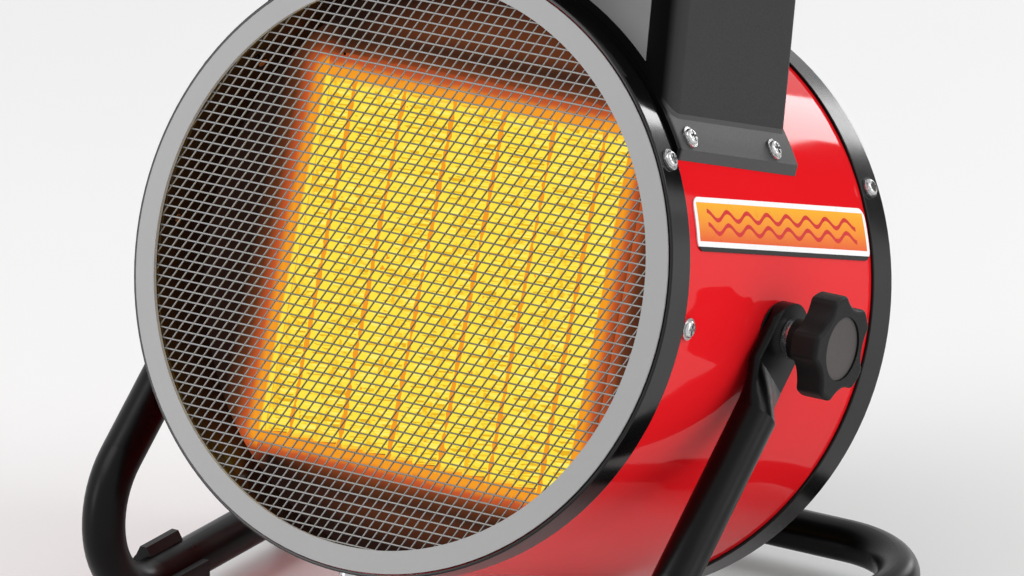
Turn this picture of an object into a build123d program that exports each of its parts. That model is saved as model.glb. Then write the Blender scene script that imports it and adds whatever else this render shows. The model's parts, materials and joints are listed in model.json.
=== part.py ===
from build123d import *
import math
import os

# Ceramic fan heater: a drum on a bent-tube stand, tilting about two clamp knobs.
# Millimetres. +Z up, the front faces -Y, X runs to the right seen from the front.
# The origin is on the floor, in the middle of the overall footprint.
# Drum pieces are drawn in the drum's own frame: Y along its axis, origin on the tilt axis.
# A setback is a distance behind the flat face of the bezel, along the drum's axis.

# Fits
fit_gap = 0.1
run_gap = 0.3
screw_clearance = 0.15
cut_margin = 1.0

# Drum and its two edge bands
drum_diameter = 221.0
drum_sheet = 1.0
drum_rear_setback = 164.9
band_sheet = 1.1
band_edge_round = 0.5
front_band_setback = 0.9
front_band_depth = 13.1
rear_band_depth = 14.2
rear_lip_height = 3.5
rear_lip_thickness = 1.2

# Tilt of the drum and place of the tilt axis
tilt_degrees = 20.4
axis_setback = 83.0

# Bezel ring, wire mesh and its clamp ring
bezel_face_width = 8.2
bezel_groove = 0.5
bezel_crown = 1.0
bezel_face_back = 1.0
bezel_shoulder_setback = 2.0
bezel_skirt_wall = 1.2
bezel_skirt_end = 22.5
mesh_wire_diameter = 0.6
mesh_wire_spacing = 3.62
mesh_slant_degrees = 62.0
mesh_layer_gap = 0.05
clamp_ring_width = 5.5
clamp_ring_thickness = 1.2

# Pan-head screws with a rim under the dome
screw_head_diameter = 8.0
screw_rim_height = 0.9
screw_dome_diameter = 6.2
screw_dome_height = 2.2
screw_dome_round = 1.2
screw_recess_length = 4.2
screw_recess_width = 0.9
screw_recess_depth = 1.3
screw_shank_diameter = 3.6
screw_shank_length = 5.0
small_screw_scale = 0.7
band_screw_angles = (30.0, 150.0, 270.0)
rear_screw_inset = 7.1
side_screw_angles = (-0.7, 180.7)
side_screw_setback = 18.2

# Ceramic element: strips with folded fins between upright plates
element_front_setback = 36.5
element_depth = 20.0
element_width = 128.0
element_height = 131.0
element_drop = 5.3
strip_count = 6
strip_thickness = 2.6
plate_thickness = 0.6
fin_sheet = 0.35
fin_pitch = 3.8
fin_inset = 1.0
rail_height = 8.0
rail_overhang = 2.0
rail_socket_depth = 4.0
rail_lip_height = 6.5
rail_lip_thickness = 2.0
terminal_width = 6.3
terminal_thickness = 0.8
terminal_length = 9.0
terminal_socket_depth = 3.0
element_screw_spread = 45.0

# Baffle that carries the element
baffle_setback = 46.0
baffle_sheet = 1.0
baffle_rim_length = 10.0
baffle_window_gap = 1.0
cutout_diameter = 16.0
cutout_thickness = 8.0
cutout_tab_length = 26.0
cutout_x = -38.0

# Fan, shroud, bracket and motor
fan_setback = 74.0
fan_hub_diameter = 44.0
fan_hub_length = 24.0
fan_tip_diameter = 172.0
fan_blade_count = 6
fan_blade_sheet = 1.8
fan_root_chord = 26.0
fan_tip_chord = 40.0
fan_root_pitch = 48.0
fan_tip_pitch = 26.0
fan_tip_gap = 5.0
shroud_setback = 100.0
shroud_sheet = 1.0
shroud_collar_length = 20.0
shroud_rim_length = 8.0
bracket_sheet = 2.0
bracket_arm_count = 4
bracket_arm_width = 14.0
bracket_hub_diameter = 72.0
bracket_foot_reach = 8.0
bracket_bore_diameter = 24.0
motor_diameter = 60.0
motor_length = 46.0
motor_edge_round = 4.0
motor_screw_circle = 44.0
shaft_diameter = 6.0
shaft_hub_depth = 18.0
bearing_outer_diameter = 14.0
bearing_length = 7.0

# Rear grille
grille_inset = 5.0
grille_sheet = 1.5
grille_ring_width = 3.0
grille_ring_pitch = 9.0
grille_spoke_count = 4
grille_spoke_width = 4.0
grille_rim_length = 10.0
grille_hub_diameter = 26.0

# Control housing that straddles the drum
housing_length = 88.2
housing_foot_angle = 38.5
housing_skirt_drop = 21.5
housing_draft_degrees = 6.0
housing_rise = 54.5
housing_front_radius = 9.0
housing_rear_radius = 3.0
housing_top_round = 2.5
housing_wall = 2.5
flange_thickness = 2.4
flange_band_gap = 0.4
flange_front_margin = 0.6
flange_rear_margin = 0.4
flange_inner_angle = 30.6
flange_outer_angle = 32.3
flange_screw_angle = 34.75
flange_screw_setbacks = (25.6, 87.8)
saddle_gap = 0.15

# Control panel set into the housing's front
panel_margin = 10.5
panel_top_margin = 10.0
panel_drum_margin = 5.5
panel_gap = 0.3
panel_ledge = 2.5
panel_ledge_thickness = 1.5
control_spread = 76.0
control_rise = 23.5
bush_diameter = 10.0
control_shaft_diameter = 6.0
thermostat_width = 38.0
thermostat_height = 32.0
thermostat_depth = 30.0
switch_diameter = 32.0
switch_depth = 38.0
knob_diameter = 32.0
knob_length = 17.0
knob_skirt_diameter = 38.0
knob_skirt_length = 3.0
knob_pointer_width = 3.0
knob_pointer_height = 1.2
knob_round = 2.0
knob_wall = 3.0
control_shaft_engagement = 12.0

# Carry handle on top of the housing
handle_span = 132.0
handle_gap_height = 34.0
handle_bar_height = 18.0
handle_bar_depth = 26.0
handle_section_round = 7.0
handle_bend_radius = 22.0
handle_screw_length = 14.0

# Mains inlet gland, terminal block and lead grommet inside the housing
gland_x = -55.0
gland_rise = 16.5
gland_bore_diameter = 9.0
gland_body_diameter = 16.0
gland_flange_diameter = 24.0
gland_flange_length = 6.0
gland_nut_length = 5.0
block_width = 46.0
block_depth = 16.0
block_height = 18.0
block_x = 18.0
block_way_count = 4
grommet_bore_diameter = 13.0
grommet_hole_diameter = 18.0
grommet_flange_diameter = 23.0
grommet_flange_thickness = 1.5
grommet_setback = 68.0
lead_diameter = 2.4
lead_spread = 2.2
lead_bend_radius = 5.0
lead_bend_share = 0.45
lead_level_step = 4.0
lead_element_run = 18.0
lead_pair_offset = 4.4
lead_notch_diameter = 12.0
lead_motor_setback = 126.0

# Label plate on the drum's right side
label_rear_margin = 1.3
label_height = 19.4
label_sheet = 0.4
label_angle = 19.75
label_front_setback = 20.4
label_corner_radius = 4.0
label_turn_degrees = 1.8

# Stand bent from one tube, with its ends pressed flat
tube_diameter = 16.0
tube_wall = 1.5
leg_offset = 6.5
leg_degrees = 50.9
drum_floor_gap = 3.8
bend_radius = 30.6
cross_bar_setback = 106.8
corner_radius = 38.0
flat_width = 25.0
flat_thickness = 5.5
flat_crown = 0.3
flat_side_round = 1.2
flat_end = 17.0
round_start = 34.0

# Snap-on feet under the runners
foot_pad = 8.0
foot_length = 21.0
foot_wall = 2.8
foot_grip_gap = 0.15
foot_bend_gap = 1.0
foot_lip_height = 11.5
foot_lip_flare = 2.0
foot_mouth_half_width = 1.0
foot_inner_lip_height = 2.5
rear_foot_inset = 14.0

# Tilt clamps: stud, washers, spacer, weld nut and star knob
stud_diameter = 8.0
stud_bore_gap = 0.3
stud_tail = 2.5
stud_shroud_gap = 0.3
stud_knob_depth = 7.0
spacer_thickness = 0.6
spacer_diameter = 24.0
washer_diameter = 15.0
washer_thickness = 1.1
washer_count = 2
weld_nut_diameter = 18.0
weld_nut_length = 7.0
star_diameter = 38.4
star_valley_diameter = 31.0
star_flute_radius = 14.0
star_lobe_count = 5
star_thickness = 10.5
star_boss_length = 8.6
star_boss_diameter = 15.0
star_edge_round = 1.6
star_lobe_round = 2.4
cap_diameter = 23.0
cap_thickness = 1.5
cap_recess = 0.8

# Worked-out radii
drum_radius = drum_diameter / 2
drum_inner_radius = drum_radius - drum_sheet
lining_radius = drum_inner_radius - fit_gap
band_inner_radius = drum_radius + fit_gap
band_radius = band_inner_radius + band_sheet
bezel_radius = band_inner_radius - bezel_groove
bezel_inner_radius = bezel_radius - bezel_face_width
tube_radius = tube_diameter / 2
screw_hole_radius = screw_shank_diameter / 2 + screw_clearance
stud_hole_radius = stud_diameter / 2 + stud_bore_gap
drum_front_setback = bezel_shoulder_setback + fit_gap
front_band_end = front_band_setback + front_band_depth
rear_band_end = drum_rear_setback + fit_gap + rear_lip_thickness
rear_band_setback = rear_band_end - rear_band_depth
front_screw_setback = front_band_setback + front_band_depth / 2
rear_screw_setback = drum_rear_setback - rear_screw_inset

# Worked-out places of the stand and the tilt axis
tilt_sin = math.sin(math.radians(tilt_degrees))
tilt_cos = math.cos(math.radians(tilt_degrees))
runner_height = foot_pad + tube_radius
drum_tail = rear_band_end - axis_setback
axis_height = drum_floor_gap + drum_tail * tilt_sin + band_radius * tilt_cos
leg_rise = axis_height - runner_height
front_reach = (front_band_setback - axis_setback) * tilt_cos - band_radius * tilt_sin
drum_rear_reach = drum_tail * tilt_cos + band_radius * tilt_sin
rear_reach = max(drum_rear_reach, cross_bar_setback + tube_radius)
axis_y = -(front_reach + rear_reach) / 2
drum_place = Pos(0, axis_y, axis_height) * Rot(X=-tilt_degrees)
leg_cos = math.cos(math.radians(leg_degrees))
leg_sin = math.sin(math.radians(leg_degrees))
leg_length = (leg_rise - bend_radius - bend_radius * leg_sin) / leg_cos
bend_center_y = axis_y - leg_length * leg_sin + bend_radius * leg_cos
cross_bar_y = axis_y + cross_bar_setback
flat_inner_x = drum_radius + run_gap + spacer_thickness + fit_gap
leg_x = flat_inner_x + leg_offset

FROM_BASE = (Align.CENTER, Align.CENTER, Align.MIN)


def along(setback):
    """Drum-frame Y of a distance behind the bezel's face."""
    return setback - axis_setback


def prism_y(sketch, start, end):
    """Sketch drawn in X and Z, drawn out between two setbacks."""
    return Pos(0, along(end), 0) * extrude(Plane.XZ * sketch, amount=end - start)


def ring_y(inner, outer, start, end):
    """Round ring about the drum's axis between two setbacks."""
    return prism_y(Circle(outer) - Circle(inner), start, end)


def turned(points):
    """Solid of revolution about the drum's axis from radius and setback pairs."""
    outline = Polyline([(radius, along(setback)) for radius, setback in points], close=True)
    return revolve(make_face(outline), axis=Axis.Y)


def rod_x(radius, start, end, y=0.0, z=0.0):
    """Round bar along X."""
    return Pos(start, y, z) * Rot(Y=90) * Cylinder(radius, end - start, align=FROM_BASE)


def radial(angle, radius, setback):
    """Place whose Z points out of the drum at an angle above +X."""
    turn = math.radians(angle)
    return Pos(radius * math.cos(turn), along(setback), radius * math.sin(turn)) * Rot(Y=90 - angle)


def radial_hole(angle, setback, radius):
    """Drill through every layer on and under the drum's wall."""
    depth = 2 * (flange_thickness + screw_shank_length)
    return radial(angle, drum_radius, setback) * Cylinder(radius, depth)


def drilled(shape, angles, setback):
    """Shape with a ring of screw holes through it."""
    for angle in angles:
        shape -= radial_hole(angle, setback, screw_hole_radius)
    return shape


def pan_screw(length=screw_shank_length):
    """Screw along Z with its seat at Z = 0 and a crossed recess in its dome."""
    dome = Cylinder(screw_dome_diameter / 2, screw_dome_height, align=FROM_BASE)
    dome = fillet(dome.edges().group_by(Axis.Z)[-1], screw_dome_round)
    head = Cylinder(screw_head_diameter / 2, screw_rim_height, align=FROM_BASE) + dome
    recess = Box(screw_recess_length, screw_recess_width, screw_recess_depth)
    recess += Box(screw_recess_width, screw_recess_length, screw_recess_depth)
    head -= Pos(0, 0, screw_dome_height - screw_recess_depth / 2) * recess
    return head + Pos(0, 0, -length) * Cylinder(screw_shank_diameter / 2, length, align=FROM_BASE)


def small_screw(length):
    """Plain small screw along Z, for inside work."""
    head = Cylinder(small_head_radius, small_screw_scale * screw_dome_height, align=FROM_BASE)
    shank = Cylinder(small_screw_scale * screw_shank_diameter / 2, length, align=FROM_BASE)
    return head + Pos(0, 0, -length) * shank


small_hole_radius = small_screw_scale * screw_shank_diameter / 2 + screw_clearance
small_head_radius = small_screw_scale * screw_head_diameter / 2


def screw_ring(angles, radius, setback):
    """Screws set round the drum, seated at a radius."""
    return Compound([radial(angle, radius + fit_gap, setback) * pan_screw() for angle in angles])


def on_left(shape):
    """Mirror image on the left side."""
    return mirror(shape, about=Plane.YZ)


def both_sides(shape):
    """A shape and its mirror image on the left side."""
    return [shape, on_left(shape)]


# Drum shell, bands and bezel
def drum_shell():
    shell = ring_y(drum_inner_radius, drum_radius, drum_front_setback, drum_rear_setback)
    shell = drilled(shell, band_screw_angles, front_screw_setback)
    shell = drilled(shell, band_screw_angles, rear_screw_setback)
    shell = drilled(shell, side_screw_angles, side_screw_setback)
    for setback in flange_screw_setbacks:
        shell = drilled(shell, (flange_screw_angle, 180 - flange_screw_angle), setback)
    for side in (0, 180):
        shell -= radial_hole(side, axis_setback, stud_hole_radius)
    return shell - radial_hole(90, grommet_setback, grommet_hole_diameter / 2)


def front_band():
    band = ring_y(band_inner_radius, band_radius, front_band_setback, front_band_end)
    edges = band.edges().filter_by(GeomType.CIRCLE).sort_by(lambda edge: edge.radius)[-2:]
    band = fillet(edges, band_edge_round)
    return drilled(band, band_screw_angles, front_screw_setback)


def rear_band():
    end = rear_band_setback + rear_band_depth
    band = turned([
        (band_inner_radius, rear_band_setback),
        (band_radius, rear_band_setback),
        (band_radius, end),
        (band_radius - rear_lip_height, end),
        (band_radius - rear_lip_height, end - rear_lip_thickness),
        (band_inner_radius, end - rear_lip_thickness),
    ])
    edges = band.edges().filter_by(GeomType.CIRCLE).sort_by(lambda edge: edge.radius)[-2:]
    band = fillet(edges, band_edge_round)
    return drilled(band, band_screw_angles, rear_screw_setback)


bezel_neck_radius = lining_radius - bezel_skirt_wall


def bezel_ring():
    ring = turned([
        (bezel_inner_radius, -bezel_crown),
        (bezel_radius, 0),
        (bezel_radius, bezel_shoulder_setback),
        (lining_radius, bezel_shoulder_setback),
        (lining_radius, bezel_skirt_end),
        (bezel_neck_radius, bezel_skirt_end),
        (bezel_neck_radius, bezel_face_back),
        (bezel_inner_radius, bezel_face_back),
    ])
    ring = drilled(ring, band_screw_angles, front_screw_setback)
    return drilled(ring, side_screw_angles, side_screw_setback)


# Wire mesh in two crossing layers, held against the bezel by a ring
mesh_radius = bezel_neck_radius - 2 * fit_gap
mesh_front_setback = bezel_face_back + fit_gap
mesh_second_setback = mesh_front_setback + mesh_wire_diameter + mesh_layer_gap
clamp_ring_setback = mesh_second_setback + mesh_wire_diameter + mesh_layer_gap


def mesh_layer(setback):
    """Parallel wires along X that fill the bezel's circle."""
    wire_radius = mesh_wire_diameter / 2
    count = int((mesh_radius - mesh_wire_diameter) / mesh_wire_spacing)
    wires = []
    for step in range(-count, count + 1):
        z = step * mesh_wire_spacing
        half = math.sqrt(mesh_radius ** 2 - (abs(z) + wire_radius) ** 2)
        wires.append(rod_x(wire_radius, -half, half, along(setback) + wire_radius, z))
    return wires


def mesh_level_wires():
    return Compound(mesh_layer(mesh_front_setback))


def mesh_slanted_wires():
    return Compound([Rot(Y=-mesh_slant_degrees) * wire for wire in mesh_layer(mesh_second_setback)])


def mesh_clamp_ring():
    end = clamp_ring_setback + clamp_ring_thickness
    return ring_y(mesh_radius - clamp_ring_width, mesh_radius, clamp_ring_setback, end)


# Ceramic element
element_top = element_height / 2 - element_drop
element_bottom = element_top - element_height
element_end_setback = element_front_setback + element_depth
module_pitch = element_width / strip_count
rail_width = element_width + 2 * rail_overhang
plate_height = element_height + 2 * rail_socket_depth


def upright(x, thickness, height, inset=0.0):
    """Upright flat strip through the element's depth, centred at x."""
    sketch = Pos(x, -element_drop) * Rectangle(thickness, height)
    return prism_y(sketch, element_front_setback + inset, element_end_setback - inset)


def strip_centres():
    return [(place - (strip_count - 1) / 2) * module_pitch for place in range(strip_count)]


def plate_centres():
    inner = [(place - strip_count / 2) * module_pitch for place in range(1, strip_count)]
    edge = (element_width - plate_thickness) / 2
    return [-edge] + inner + [edge]


def ptc_strips():
    return Compound([upright(x, strip_thickness, plate_height) for x in strip_centres()])


def fin_plates():
    return Compound([upright(x, plate_thickness, plate_height) for x in plate_centres()])


def folded_fin(left, right):
    """Sheet folded back and forth between two upright faces."""
    rise = fin_pitch / 2
    folds = int((element_height - 2 * fit_gap) / rise)
    low = element_bottom + (element_height - folds * rise) / 2
    shift = fin_sheet / math.sin(math.atan2(rise, right - left))
    near = []
    far = []
    for fold in range(folds + 1):
        z = low + fold * rise
        near.append((left if fold % 2 == 0 else right - shift, z))
        far.append((left + shift if fold % 2 == 0 else right, z))
    sketch = make_face(Polyline(near + far[::-1], close=True))
    return prism_y(sketch, element_front_setback + fin_inset, element_end_setback - fin_inset)


def heater_fins():
    """Two folded fins beside each strip, reaching to the next plate."""
    fins = []
    plates = plate_centres()
    for place, x in enumerate(strip_centres()):
        left_face = plates[place] + plate_thickness / 2 + fit_gap
        right_face = plates[place + 1] - plate_thickness / 2 - fit_gap
        fins.append(folded_fin(left_face, x - strip_thickness / 2 - fit_gap))
        fins.append(folded_fin(x + strip_thickness / 2 + fit_gap, right_face))
    return Compound(fins)


lip_setback = baffle_setback + baffle_sheet


def element_rail(side):
    """Insulating rail above (side 1) or below (side -1) the fins, with a screw lip."""
    edge = element_top if side > 0 else element_bottom
    face = edge + side * fit_gap
    middle = face + side * rail_height / 2
    bar = Pos(0, middle) * Rectangle(rail_width, rail_height)
    rail = prism_y(bar, element_front_setback, element_end_setback)
    lip_middle = face + side * (rail_height + rail_lip_height / 2)
    lip = Pos(0, lip_middle) * Rectangle(rail_width, rail_lip_height)
    rail += prism_y(lip, lip_setback, lip_setback + rail_lip_thickness)
    for x in strip_centres():
        rail -= upright(x, strip_thickness + 2 * fit_gap, plate_height + 2 * fit_gap)
    for x in plate_centres():
        rail -= upright(x, plate_thickness + 2 * fit_gap, plate_height + 2 * fit_gap)
    for x in (-element_screw_spread, element_screw_spread):
        rail -= prism_y(Pos(x, lip_middle) * Circle(small_hole_radius), lip_setback, element_end_setback)
    if side > 0:
        for tab in terminal_sockets(fit_gap):
            rail -= tab
    return rail


def terminal_sockets(gap):
    """Terminal tabs, or with a gap the sockets that hold them, one behind each strip."""
    height = element_top + fit_gap + rail_height / 2 + rail_socket_depth / 2
    start = element_end_setback - terminal_socket_depth
    tabs = []
    for x in strip_centres():
        sketch = Pos(x, height) * Rectangle(terminal_width + 2 * gap, terminal_thickness + 2 * gap)
        tabs.append(prism_y(sketch, start - gap, element_end_setback + terminal_length))
    return tabs


def element_screws():
    """Screws that hold both rails to the baffle, heads in front."""
    screws = []
    for side, edge in ((1, element_top), (-1, element_bottom)):
        z = edge + side * (fit_gap + rail_height + rail_lip_height / 2)
        for x in (-element_screw_spread, element_screw_spread):
            place = Pos(x, along(baffle_setback), z) * Rot(X=90)
            screws.append(place * small_screw(baffle_sheet + rail_lip_thickness))
    return Compound(screws)


def baffle_plate():
    plate = prism_y(Circle(lining_radius), baffle_setback, lip_setback)
    plate += ring_y(lining_radius - baffle_sheet, lining_radius, lip_setback, lip_setback + baffle_rim_length)
    window_width = rail_width + 2 * baffle_window_gap
    window_height = element_height + 2 * (rail_height + fit_gap + baffle_window_gap)
    window = Pos(0, -element_drop) * Rectangle(window_width, window_height)
    plate -= prism_y(window, baffle_setback, lip_setback)
    for side, edge in ((1, element_top), (-1, element_bottom)):
        z = edge + side * (fit_gap + rail_height + rail_lip_height / 2)
        for x in (-element_screw_spread, element_screw_spread):
            plate -= prism_y(Pos(x, z) * Circle(small_hole_radius), baffle_setback, lip_setback)
    return plate


def thermal_cutout():
    """Over-temperature switch behind the baffle, midway between the upper rail's lip and the rim."""
    start = lip_setback
    lip_top = element_top + fit_gap + rail_height + rail_lip_height
    rim_height = math.sqrt((lining_radius - baffle_sheet) ** 2 - cutout_x ** 2)
    place = Pos(cutout_x, (lip_top + rim_height) / 2)
    body = prism_y(place * SlotOverall(cutout_tab_length, cutout_diameter / 2), start, start + baffle_sheet)
    return body + prism_y(place * Circle(cutout_diameter / 2), start, start + cutout_thickness)


# Fan and motor
fan_tip_radius = fan_tip_diameter / 2
fan_hub_radius = fan_hub_diameter / 2
shaft_radius = shaft_diameter / 2
collar_radius = fan_tip_radius + fan_tip_gap
bracket_setback = shroud_setback + shroud_sheet + fit_gap
motor_setback = bracket_setback + bracket_sheet + fit_gap
motor_end_setback = motor_setback + motor_length
bracket_foot_radius = collar_radius + shroud_sheet + bracket_foot_reach


def fan_blade():
    """One twisted blade along +X, from inside the hub to the tip."""
    middle = along(fan_setback + fan_hub_length / 2)
    root = Plane(origin=(fan_hub_radius - fan_blade_sheet, middle, 0), x_dir=(0, 1, 0), z_dir=(1, 0, 0))
    tip = Plane(origin=(fan_tip_radius, middle, 0), x_dir=(0, 1, 0), z_dir=(1, 0, 0))
    root_face = root * Rot(Z=90 - fan_root_pitch) * Rectangle(fan_root_chord, fan_blade_sheet)
    tip_face = tip * Rot(Z=90 - fan_tip_pitch) * Rectangle(fan_tip_chord, fan_blade_sheet)
    return loft([root_face, tip_face])


def fan_impeller():
    hub = prism_y(Circle(fan_hub_radius), fan_setback, fan_setback + fan_hub_length)
    blade = fan_blade()
    for place in range(fan_blade_count):
        hub += Rot(Y=360 / fan_blade_count * place) * blade
    bore_start = fan_setback + fan_hub_length - shaft_hub_depth
    return hub - prism_y(Circle(shaft_radius + fit_gap / 2), bore_start, fan_setback + fan_hub_length)


def motor_shaft():
    start = fan_setback + fan_hub_length - shaft_hub_depth + fit_gap
    return prism_y(Circle(shaft_radius), start, motor_end_setback - bearing_length / 2)


def motor_bearings():
    """Plain bushes pressed into both ends of the motor."""
    bush = Circle(bearing_outer_diameter / 2) - Circle(shaft_radius + fit_gap)
    starts = (motor_setback, motor_end_setback - bearing_length)
    return Compound([prism_y(bush, start, start + bearing_length) for start in starts])


def bracket_screw_places():
    """Places of the screws between bracket and shroud, then between bracket and motor."""
    reach = (collar_radius + shroud_sheet + bracket_foot_radius) / 2
    feet = [(reach * math.cos(turn), reach * math.sin(turn)) for turn in bracket_turns()]
    radius = motor_screw_circle / 2
    motor = [(radius * math.cos(turn), radius * math.sin(turn)) for turn in bracket_turns()]
    return feet, motor


def bracket_turns():
    return [math.tau * (place + 0.5) / bracket_arm_count for place in range(bracket_arm_count)]


def fan_motor():
    motor = prism_y(Circle(motor_diameter / 2), motor_setback, motor_end_setback)
    motor = fillet(motor.edges().filter_by(GeomType.CIRCLE).group_by(Axis.Y)[-1], motor_edge_round)
    motor -= prism_y(Circle(shaft_radius + 2 * fit_gap), motor_setback, motor_end_setback)
    pocket = Circle(bearing_outer_diameter / 2 + fit_gap)
    motor -= prism_y(pocket, motor_setback, motor_setback + bearing_length + fit_gap)
    motor -= prism_y(pocket, motor_end_setback - bearing_length - fit_gap, motor_end_setback)
    for x, z in bracket_screw_places()[1]:
        hole = Pos(x, z) * Circle(small_hole_radius)
        motor -= prism_y(hole, motor_setback, motor_setback + screw_shank_length)
    return motor


def motor_bracket():
    """Cross-shaped plate from the motor's nose to the shroud."""
    start = bracket_setback
    end = start + bracket_sheet
    arm = Pos(bracket_foot_radius / 2, 0) * Rectangle(bracket_foot_radius, bracket_arm_width)
    sketch = Circle(bracket_hub_diameter / 2)
    for turn in bracket_turns():
        sketch += Rot(Z=math.degrees(turn)) * arm
    plate = prism_y(sketch - Circle(bracket_bore_diameter / 2), start, end)
    feet, motor = bracket_screw_places()
    for x, z in feet + motor:
        plate -= prism_y(Pos(x, z) * Circle(small_hole_radius), start, end)
    return plate


def bracket_screws():
    """Screws into the shroud from behind and into the motor from in front."""
    feet, motor = bracket_screw_places()
    screws = []
    for x, z in feet:
        place = Pos(x, along(bracket_setback + bracket_sheet), z) * Rot(X=-90)
        screws.append(place * small_screw(bracket_sheet + fit_gap + shroud_sheet))
    for x, z in motor:
        place = Pos(x, along(bracket_setback), z) * Rot(X=90)
        screws.append(place * small_screw(bracket_sheet + screw_shank_length))
    return Compound(screws)


def fan_shroud():
    """Ring plate with a collar round the blades and a rim against the drum."""
    plate_end = shroud_setback + shroud_sheet
    shroud = ring_y(collar_radius, lining_radius, shroud_setback, plate_end)
    collar_start = shroud_setback - shroud_collar_length
    shroud += ring_y(collar_radius, collar_radius + shroud_sheet, collar_start, shroud_setback)
    shroud += ring_y(lining_radius - shroud_sheet, lining_radius, plate_end, plate_end + shroud_rim_length)
    for x, z in bracket_screw_places()[0]:
        shroud -= prism_y(Pos(x, z) * Circle(small_hole_radius), shroud_setback, plate_end)
        head = Pos(x, z) * Circle(small_head_radius + fit_gap)
        shroud -= prism_y(head, plate_end, plate_end + shroud_rim_length)
    notch = Pos(0, (collar_radius + shroud_sheet + lining_radius) / 2) * Circle(lead_notch_diameter / 2)
    return shroud - prism_y(notch, shroud_setback, plate_end)


grille_setback = drum_rear_setback - grille_inset


def rear_grille():
    """Concentric rings on spokes, with a rim that the rear band's screws hold."""
    end = grille_setback + grille_sheet
    rim_inner = lining_radius - grille_sheet
    sketch = Circle(lining_radius) - Circle(rim_inner - grille_ring_width)
    radius = grille_hub_diameter / 2 + grille_ring_pitch
    while radius < rim_inner - grille_ring_pitch:
        sketch += Circle(radius) - Circle(radius - grille_ring_width)
        radius += grille_ring_pitch
    for place in range(grille_spoke_count):
        sketch += Rot(Z=180 / grille_spoke_count * place) * Rectangle(2 * rim_inner, grille_spoke_width)
    sketch += Circle(grille_hub_diameter / 2)
    grille = prism_y(sketch, grille_setback, end)
    grille += ring_y(rim_inner, lining_radius, end - grille_rim_length, grille_setback)
    return drilled(grille, band_screw_angles, rear_screw_setback)


# Control housing
flange_front_setback = front_band_end + flange_band_gap
housing_front_setback = flange_front_setback + flange_front_margin
housing_rear_setback = housing_front_setback + housing_length
housing_middle_setback = (housing_front_setback + housing_rear_setback) / 2
saddle_radius = drum_radius + saddle_gap
flange_radius = saddle_radius + flange_thickness
housing_foot_half_width = flange_radius * math.cos(math.radians(housing_foot_angle))
housing_foot_height = flange_radius * math.sin(math.radians(housing_foot_angle))
housing_skirt_height = housing_foot_height - housing_skirt_drop
housing_top_height = drum_radius + housing_rise
control_height = drum_radius + control_rise
gland_height = drum_radius + gland_rise


def half_width(height):
    """Half width of the tapering housing at a height above the drum's axis."""
    lean = math.tan(math.radians(housing_draft_degrees))
    return housing_foot_half_width - (height - housing_foot_height) * lean


def tapered_block(low, high, inset):
    """Tapering block, rounder in front than behind, shrunk all round by an inset."""
    faces = []
    for height in (low, high):
        width = 2 * (half_width(height) - inset)
        plan = Rectangle(width, housing_length - 2 * inset)
        plan = fillet(plan.vertices().group_by(Axis.Y)[0], housing_front_radius - inset)
        plan = fillet(plan.vertices().group_by(Axis.Y)[-1], housing_rear_radius - inset)
        faces.append(Pos(0, along(housing_middle_setback), height) * plan)
    return loft(faces)


def panel_outline(grow):
    """Front outline of the control panel, grown or shrunk all round."""
    low = housing_skirt_height
    high = housing_top_height - panel_top_margin
    corners = [
        (half_width(low) - panel_margin, low),
        (half_width(high) - panel_margin, high),
        (panel_margin - half_width(high), high),
        (panel_margin - half_width(low), low),
    ]
    outline = make_face(Polyline(corners, close=True))
    outline = offset(outline, amount=grow, kind=Kind.INTERSECTION)
    return outline - Circle(drum_radius + panel_drum_margin - grow)


def saddle_section():
    """Section of the saddle on the drum, its two lower edges cut along a slant."""
    inner = math.radians(flange_inner_angle)
    outer = math.radians(flange_outer_angle)
    foot = (saddle_radius * math.cos(inner), saddle_radius * math.sin(inner))
    edge = (flange_radius * math.cos(outer), flange_radius * math.sin(outer))
    low = (2 * foot[0] - edge[0], 2 * foot[1] - edge[1])
    high = (2 * edge[0] - foot[0], 2 * edge[1] - foot[1])
    top = flange_radius + flange_thickness
    corners = [low, high, (high[0], top), (-high[0], top), (-high[0], high[1]), (-low[0], low[1])]
    return (Circle(flange_radius) - Circle(saddle_radius)) & make_face(Polyline(corners, close=True))


def control_housing():
    """Hollow tapering cover with a saddle flange, a panel opening and holes for what is fixed to it."""
    body = tapered_block(housing_skirt_height, housing_top_height, 0)
    body = fillet(body.edges().group_by(Axis.Z)[-1], housing_top_round)
    flange_end = housing_rear_setback + flange_rear_margin
    body += prism_y(saddle_section(), flange_front_setback, flange_end)
    body -= tapered_block(housing_skirt_height - cut_margin, housing_top_height - housing_wall, housing_wall)
    body -= prism_y(Circle(saddle_radius), flange_front_setback - cut_margin, flange_end + cut_margin)
    for setback in flange_screw_setbacks:
        body = drilled(body, (flange_screw_angle, 180 - flange_screw_angle), setback)
    front_end = housing_front_setback + housing_wall
    body -= prism_y(panel_outline(0), housing_front_setback - cut_margin, front_end)
    gland_hole = Pos(gland_x, gland_height) * Circle(gland_body_diameter / 2 + fit_gap)
    wall_inside = housing_rear_setback - housing_wall
    body -= prism_y(gland_hole, wall_inside - cut_margin, housing_rear_setback + cut_margin)
    for x in (-handle_span / 2, handle_span / 2):
        hole = Cylinder(screw_hole_radius, 2 * housing_wall)
        body -= Pos(x, along(housing_middle_setback), housing_top_height - housing_wall / 2) * hole
        seat = Pos(x, along(housing_middle_setback), housing_top_height - housing_wall) * Rot(X=180)
        head_radius = screw_head_diameter / 2 + fit_gap
        body -= seat * Cylinder(head_radius, screw_dome_height + cut_margin, align=FROM_BASE)
    return body


def flange_screws():
    """Screws through the housing's flanges into the drum."""
    screws = []
    for setback in flange_screw_setbacks:
        for angle in (flange_screw_angle, 180 - flange_screw_angle):
            length = flange_thickness + screw_shank_length
            screws.append(radial(angle, flange_radius + fit_gap, setback) * pan_screw(length))
    return Compound(screws)


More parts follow.
